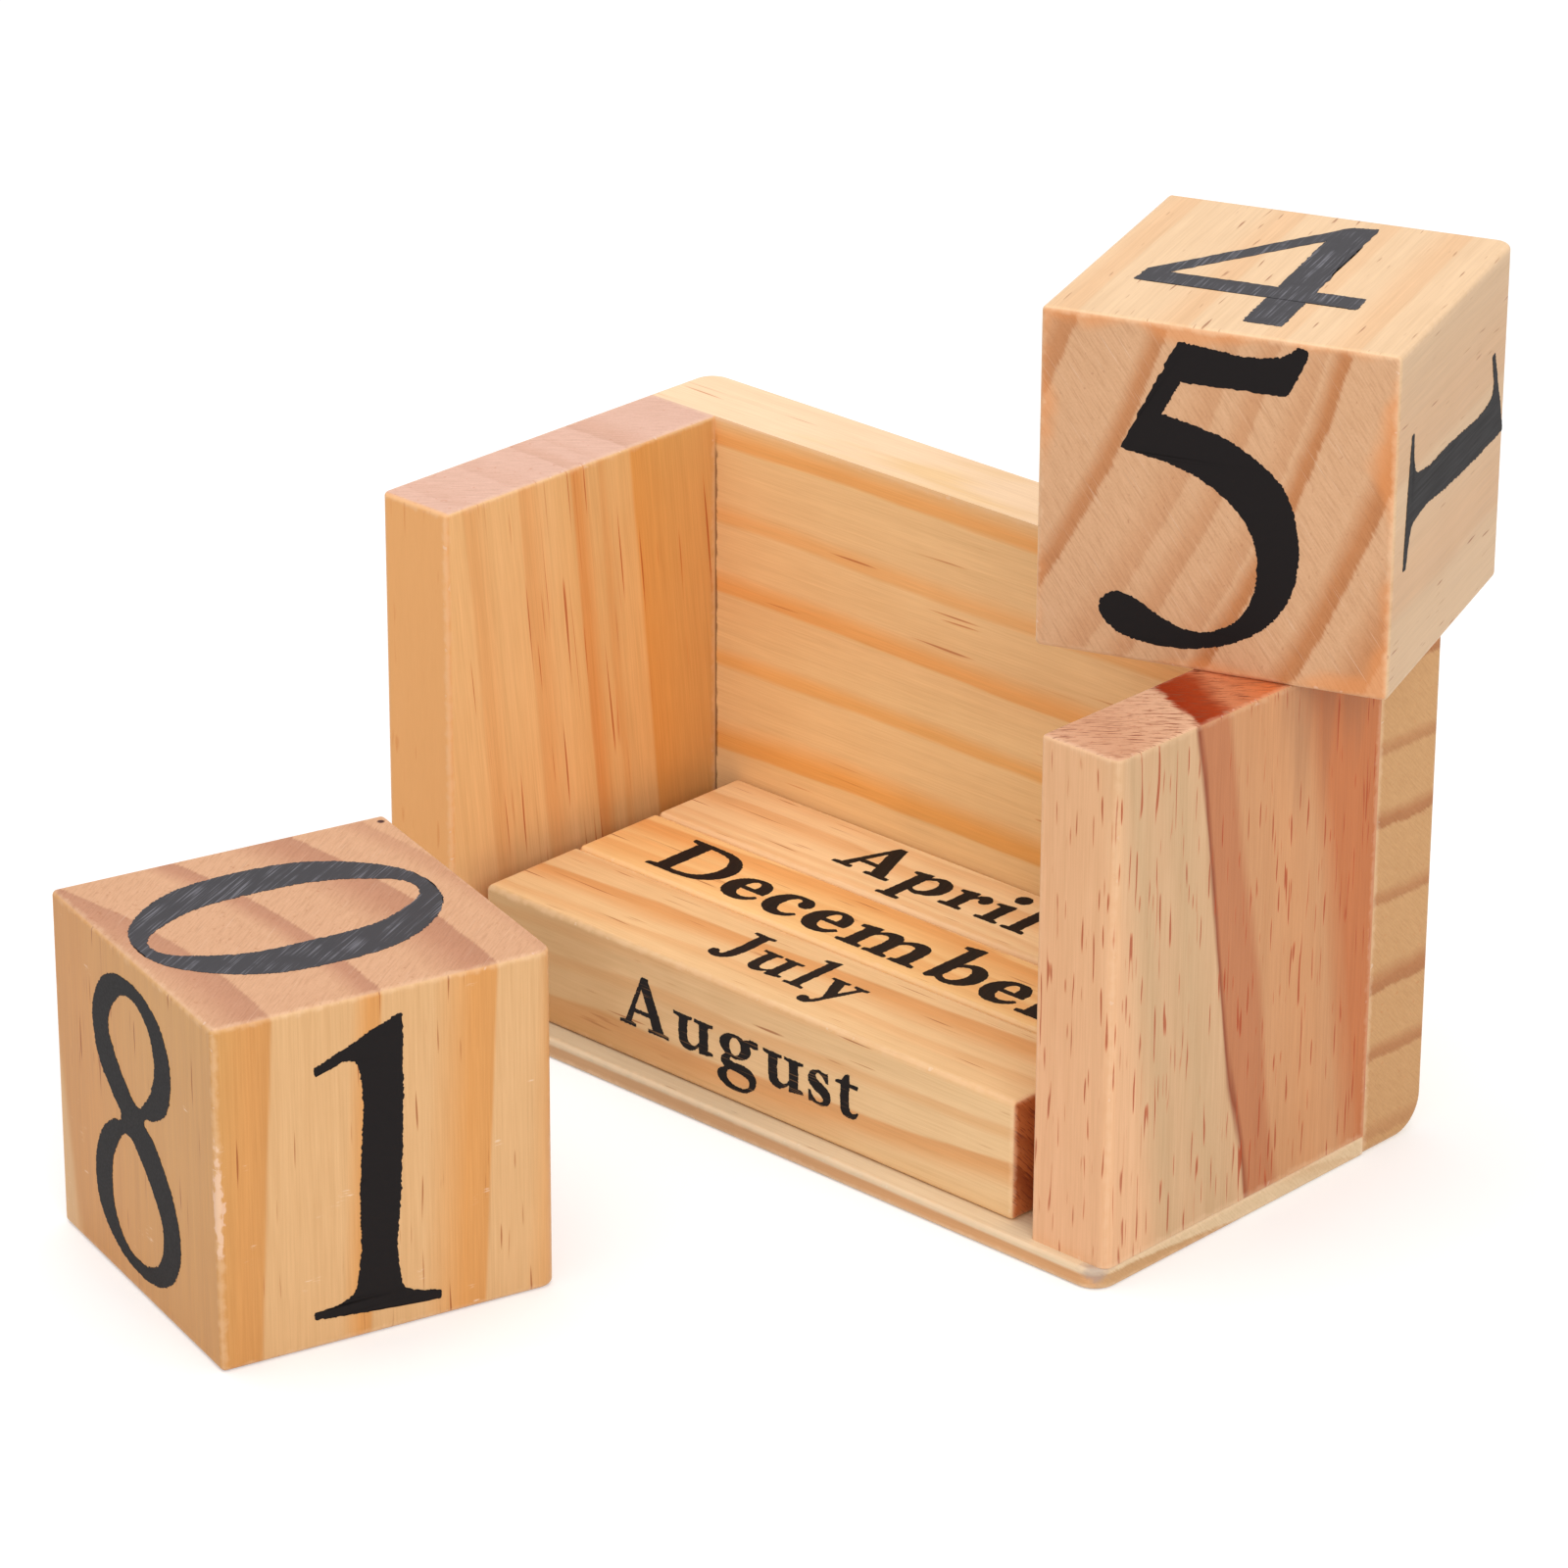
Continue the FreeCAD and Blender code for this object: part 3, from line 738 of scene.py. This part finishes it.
# Outlines in millimetres from the lower left corner of a cube's face.
digits = {
    "0": ["21.4,1.9 31,7 35.4,21 31,35.6 21.1,40.8 11.4,35.6 7,21 11.4,7",
          "21.2,3.3 26.6,8.4 28.7,21 26.6,33.8 20.9,39 15.6,33.8 13.2,21 15.6,8.4"],
    "1": ["24.6,41.5* 21.5,40.4 17.5,38.7 13.2,36.9* 13.2,36* 15.5,36.7 17,37.1 18.5,36.6 19.2,34.5 "
          "18.8,20 18.2,7.5 17.4,5.8 15,4.9 12.4,4.7* 12.4,4* 20,3.3 29,2.6* 29,3.5* 26.5,4.1 24.2,5.2 "
          "23.5,7.5 24,20 24.4,30"],
    "2": ["9.6,30.8* 11,36.5 15.5,40.6 22,41.8 29.5,39.5 32.5,32.5 30,25.5 23.5,17.8 16.5,9.6* 27,9.4* "
          "31.5,10.2 34.3,13.4* 35.4,13* 32.6,3.2* 8.6,3.2* 8.6,4.4* 18,14.6 24.5,23 27,31 25,36.6 "
          "20,38.9 14.5,36.8 10.9,30.4*"],
    "3": ["10.4,33.5* 12.6,38.6 17.5,41.4 23.5,41.3 28.6,37.8 29.6,32.4 27.2,27.8 23.2,25* 29.6,22.4 "
          "33.4,16.6 32.2,8.8 26,3.8 17.5,2.4 10,4.4 8.4,7.2 10.2,9.4 13.6,8.4 17.6,5.4 22.6,5 27,8.6 "
          "28.3,14.2 26.4,19.6 21.6,22.8 15.8,23.2* 15.9,24.3* 21.4,26.2 25,30.4 24.8,35.4 21,38.2 "
          "16,37.6 11.6,33*"],
    "4": ["23.9,4.5* 28.6,4.5* 28.6,13.5* 34.9,13.5* 34.9,17.3* 28.6,17.3* 28.4,42* 25.2,41.3* 7.3,17.6* "
          "7,13.5* 23.9,13.5*",
          "9.8,17.2* 23.9,17.3* 23.9,35.8*"],
    "5": ["17.4,41.6* 30.5,41.6 32.4,43.1* 33.6,42.6* 32.5,39.8 31,36.9* 17.8,36.9* 15.4,32.3* 20,31.3 "
          "24,30.1 28,27.8 31,25 32.9,20 33.1,15 31.6,10 28.5,6.5 25,4.4 21,3.2 17,2.8 13,3.1 10,4.2 "
          "8.4,6.5 9.8,8.5 12,8.4 15.5,6.6 20,5 23.5,5.7 27,8.7 28.3,15 27.1,19.4 24,22.9 20.5,25 17,26.3 "
          "14,26.9 10.6,27.4*"],
    "6": ["32.6,41.6* 32.7,40.4* 24.5,36.6 18.4,30.6 15.9,23.6* 19.5,26.2 24.4,27 31.2,23.6 34.6,15.6 "
          "32,7.2 25,2.6 18,2.9 12,7.4 9.6,15.6 12,26.2 19,35.6 26.5,40.1",
          "22,25 26.6,22.6 29.2,16 27.6,8.4 23,4.6 18.4,7.2 15.4,14 16,20.6 18.6,24.2"],
    "7": ["9.2,33.6* 10.6,41* 34.4,41* 34.4,39.6* 20.4,2.6* 15.4,2.6* 29.2,36.4* 16.2,36.4* 12.4,35.6 "
          "10.2,33.4*"],
    "8": ["22,41.6 28,40.6 31.5,38 33,34 32.5,30.5 31,28 28,26 25,24.4 27.5,22.8 30.5,20 33,16.5 "
          "34.2,12.5 33.5,8.5 30.5,5 26,3.2 22,2.9 17,3.7 13.5,5.5 11,8.5 10.5,12 11.3,15.5 13,18.3 "
          "16,20.8 18.6,22.3 16,24.8 13,27.5 11.6,30.5 11.4,34 13,37.5 16,40.2",
          "22,39.8 17.8,37.6 15.6,33.5 17,30.5 20,27.5 23.4,25.6 26,27.5 28,30.5 28.7,34.5 26.4,38.4",
          "20.3,20.8 24,18.8 27.5,15.5 29.5,12.5 29.6,10 28,6.5 25,4.8 22,4.4 18.5,5.2 15.8,8 15,11 "
          "15.2,14.5 16.5,17.5"],
}


def print_cube(node, body, turned, faces):
    """Prints the six digits of a cube: each with the cube's own directions for right and up on its face,
    and how far its screen had slipped to the right and upwards, in millimetres."""
    middle, half = own_box(node, turned)
    turn = Matrix.Rotation(turned, 3, "Z")
    skins = []
    for digit, right, up, (slip_right, slip_up) in faces:
        right, up = Vector(right), Vector(up)
        out = right.cross(up)
        corner = Vector([(out[i] - right[i] - up[i]) * half[i] for i in range(3)])
        corner = middle + turn @ (corner + (right * slip_right + up * slip_up) * mm)
        skins.append(ink_skin([outline(text) for text in digits[digit]], corner,
                              turn @ right, turn @ up, swell=0.15, bleed=0.22))
    print_on(node + "_digits", skins, body)


print_cube("number_cube_upper", "upper_cube", upper_turn, [
    ("5", (1, 0, 0), (0, 0, 1), (0, 0)), ("4", (1, 0, 0), (0, 1, 0), (0, 0)),
    ("1", (0, 0, -1), (0, 1, 0), (-0.5, 1.7)), ("2", (0, -1, 0), (0, 0, 1), (0, 0)),
    ("0", (-1, 0, 0), (0, 0, 1), (0.4, 0)), ("3", (1, 0, 0), (0, -1, 0), (0, -0.6))])
print_cube("number_cube_lower", "lower_cube", lower_turn, [
    ("8", (1, 0, 0), (0, 0, 1), (0, 0)), ("0", (1, 0, 0), (0, 1, 0), (0, 0)),
    ("1", (0, 1, 0), (0, 0, 1), (0, 0)), ("2", (0, -1, 0), (0, 0, 1), (0.5, -0.3)),
    ("6", (-1, 0, 0), (0, 0, 1), (-0.4, 0.5)), ("7", (1, 0, 0), (0, -1, 0), (0, 0.4))])

# ---- Table and light ----
# A white sheet under and behind the calendar, which keeps its soft shadow, in even studio light.
# A large lamp overhead and a smaller one from the right front give the faces their difference.

sheet_size = 6.0               # metres
sheet_drop = 0.06 * mm         # clear of the ink under the lower cube
sheet = bmesh.new()
bmesh.ops.create_grid(sheet, x_segments=1, y_segments=1, size=sheet_size / 2)
bmesh.ops.translate(sheet, verts=sheet.verts, vec=(0, 0, -sheet_drop))
floor_mesh = bpy.data.meshes.new("floor")
sheet.to_mesh(floor_mesh)
sheet.free()
floor = bpy.data.objects.new("floor", floor_mesh)
bpy.context.scene.collection.objects.link(floor)


def backdrop_rays(start):
    """1 for rays that look at the backdrop, straight, mirrored or through, and 0 for those that light."""
    camera_ray = start.node("ShaderNodeLightPath", {}, {}, "Is Camera Ray")
    mirrored = start.math("MAXIMUM", camera_ray, camera_ray.also("Is Glossy Ray"))
    return start.math("MAXIMUM", mirrored, camera_ray.also("Is Transmission Ray"))


paper, paper_start = empty_material("white_paper")
on_sheet = backdrop_rays(paper_start)
matt = paper_start.node("ShaderNodeBsdfDiffuse", {}, {"Color": (0.8, 0.8, 0.8, 1)})
glow = paper_start.node("ShaderNodeEmission", {}, {"Color": (1, 1, 1, 1), "Strength": on_sheet * 0.30})
lit = paper_start.node("ShaderNodeAddShader", {}, {0: matt, 1: glow})
white = paper_start.node("ShaderNodeEmission", {}, {"Color": (1, 1, 1, 1), "Strength": 1.0})
sheet_place = paper_start.node("ShaderNodeTexCoord", {}, {}, "Object")
far_off = between(0.5, 1.2, paper_start.vector("LENGTH", sheet_place, output="Value"))
faded = paper_start.node("ShaderNodeMixShader", {}, {0: far_off * on_sheet, 1: lit, 2: white})
paper_start.node("ShaderNodeOutputMaterial", {}, {"Surface": faded})
floor_mesh.materials.append(paper)

world = bpy.data.worlds.new("studio")
world.use_nodes = True
world.node_tree.nodes.clear()
sky_start = Link(world.node_tree)
sky = sky_start.node("ShaderNodeBackground", {}, {
    "Color": (1, 1, 1, 1), "Strength": 0.70 + backdrop_rays(sky_start) * 0.30})
sky_start.node("ShaderNodeOutputWorld", {}, {"Surface": sky})
bpy.context.scene.world = world


def lamp(name, place, size, power):
    """A square soft lamp that looks at the calendar; its place and size are in metres."""
    light = bpy.data.lights.new(name, "AREA")
    light.size = size
    light.energy = power
    holder = bpy.data.objects.new(name, light)
    holder.location = place
    holder.rotation_euler = (Vector(place) - Vector((0, 0, 0.04))).to_track_quat("Z", "Y").to_euler()
    bpy.context.scene.collection.objects.link(holder)


lamp("overhead", (-0.15, -0.1, 1.1), 0.9, 3.95)
lamp("right_front", (0.95, -0.55, 0.65), 0.7, 5.0)

# ---- Camera ----
# A long lens from the right front, a little above, so that the upright edges stay nearly parallel.
# It looks down at the calendar and is rolled by a quarter of a degree.

camera = bpy.data.cameras.new("camera")
camera.sensor_width = 36.0
camera.lens = 152.67
camera_place = Vector((520.66, -575.93, 382.48)) * mm
azimuth, elevation, roll = math.radians(43.155), math.radians(23.908), math.radians(0.244)
back = Vector((math.sin(azimuth) * math.cos(elevation), -math.cos(azimuth) * math.cos(elevation),
               math.sin(elevation)))
sideways = (-back).cross(upwards).normalized()
above = back.cross(sideways)
level = Matrix((sideways, above, back)).transposed()
tripod = bpy.data.objects.new("camera", camera)
tripod.matrix_world = Matrix.Translation(camera_place) @ (level @ Matrix.Rotation(roll, 3, "Z")).to_4x4()
bpy.context.scene.collection.objects.link(tripod)
bpy.context.scene.camera = tripod
bpy.context.scene.view_settings.view_transform = "Standard"
